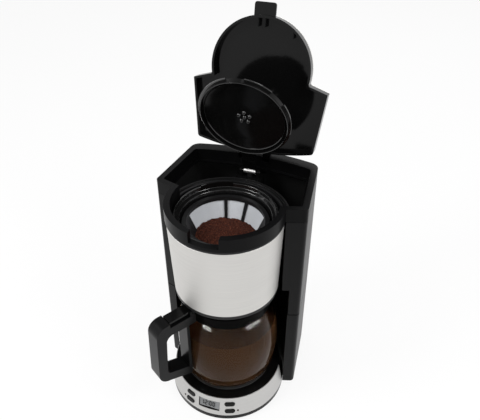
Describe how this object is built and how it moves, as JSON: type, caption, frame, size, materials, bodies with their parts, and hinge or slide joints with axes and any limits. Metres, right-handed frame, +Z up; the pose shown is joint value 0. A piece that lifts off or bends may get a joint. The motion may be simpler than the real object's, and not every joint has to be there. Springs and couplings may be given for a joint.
{
  "type": "drip coffee maker",
  "caption": "Drip coffee maker with a steel-wrapped brewing drum, hinged lid, lift-out basket and filter, steel control ring, warming plate and glass jug.",
  "frame": {"origin": "on the floor under the axis of the drum and jug", "axes": "+Z up, front towards -Y, +X to the viewer's right"},
  "size_m": [0.203, 0.2755, 0.5317],
  "materials": {
    "steel": "brushed",
    "black": "satin",
    "gloss_black": "gloss",
    "glass": "clear",
    "rubber": "matte",
    "silicone": "satin",
    "aluminium": "cast",
    "pin_steel": "polished",
    "plate": "non-stick coat",
    "lcd": "clear",
    "white_plastic": "matte",
    "board": "matte",
    "mesh": "woven nylon",
    "lamp": "translucent"
  },
  "bodies": {
    "machine": {"base_cover": "black", "base_shell": "gloss_black", "check_valve": "white_plastic", "column_lower": "black", "column_upper": "black", "control_board": "board", "control_ring": "steel", "cord_gland": "rubber", "cover_screws": "pin_steel", "display_module": "white_plastic", "display_window": "lcd", "drum_shell": "black", "drum_wrap": "steel", "foot_ring": "rubber", "heater": "aluminium", "indicator_lamps": "lamp", "inlet_hose": "silicone", "lid_hinge_pin": "pin_steel", "plate_seal": "rubber", "push_switches": "white_plastic", "rear_feet": "rubber", "riser_hose": "silicone", "riser_pipe": "black", "riser_tower": "gloss_black", "spreader_pin": "pin_steel", "thermal_fuse": "white_plastic", "thermostat": "white_plastic", "top_frame": "black", "warming_plate": "plate", "water_tank": "gloss_black"},
    "lid": {"lid_skin": "steel", "lid_frame": "black"},
    "spreader_body": {"spreader": "gloss_black"},
    "basket": {"brew_basket": "gloss_black"},
    "valve": {"valve_stem": "black", "valve_seal": "silicone", "valve_spring": "pin_steel"},
    "filter": {"filter_mesh": "mesh", "filter_frame": "black"},
    "jug": {"jug_glass": "glass", "jug_floor": "glass", "jug_collar": "gloss_black", "jug_handle": "gloss_black", "handle_screw": "pin_steel", "jug_lid_pin": "pin_steel"},
    "jug_cover": {"jug_lid": "gloss_black"},
    "upper_left": {"button_upper_left": "black"},
    "lower_left": {"button_lower_left": "black"},
    "upper_right": {"button_upper_right": "black"},
    "lower_right": {"button_lower_right": "black"}
  },
  "joints": [
    {"name": "lid_hinge", "type": "hinge", "parent": "machine", "child": "lid", "pos_m": [0, 0.121, 0.331], "axis": [-1, 0, 0], "range_deg": [-101.75, 0]},
    {"name": "spreader_hinge", "type": "hinge", "parent": "machine", "child": "spreader_body", "pos_m": [0, 0.098, 0.319], "axis": [-1, 0, 0], "range_deg": [-75.2, 0.2]},
    {"name": "basket_lift", "type": "slide", "parent": "machine", "child": "basket", "axis": [0, 0, 1], "range_m": [0, 0.085]},
    {"name": "filter_lift", "type": "slide", "parent": "basket", "child": "filter", "axis": [0, 0, 1], "range_m": [0, 0.06]},
    {"name": "valve_slide", "type": "slide", "parent": "basket", "child": "valve", "axis": [0, 0, 1], "range_m": [0, 0.004], "stiffness_N_per_m": 150, "springref_m": -0.004, "deforming": ["valve_spring"]},
    {"name": "jug_slide", "type": "slide", "parent": "machine", "child": "jug", "axis": [0, -1, 0], "range_m": [0, 0.22]},
    {"name": "jug_lid_hinge", "type": "hinge", "parent": "jug", "child": "jug_cover", "pos_m": [-0.03497, -0.05597, 0.1879], "axis": [0.848, -0.5299, 0], "range_deg": [0, 3]},
    {"name": "upper_left_press", "type": "slide", "parent": "machine", "child": "upper_left", "axis": [0.3604, 0.9149, -0.1821], "range_m": [0, 0.001], "stiffness_N_per_m": 900},
    {"name": "lower_left_press", "type": "slide", "parent": "machine", "child": "lower_left", "axis": [0.3604, 0.9149, -0.1821], "range_m": [0, 0.001], "stiffness_N_per_m": 900},
    {"name": "upper_right_press", "type": "slide", "parent": "machine", "child": "upper_right", "axis": [-0.3604, 0.9149, -0.1821], "range_m": [0, 0.001], "stiffness_N_per_m": 900},
    {"name": "lower_right_press", "type": "slide", "parent": "machine", "child": "lower_right", "axis": [-0.3604, 0.9149, -0.1821], "range_m": [0, 0.001], "stiffness_N_per_m": 900}
  ],
  "couplings": [
    {"joint": "spreader_hinge", "follows": "lid_hinge", "ratio": 0.7371}
  ]
}
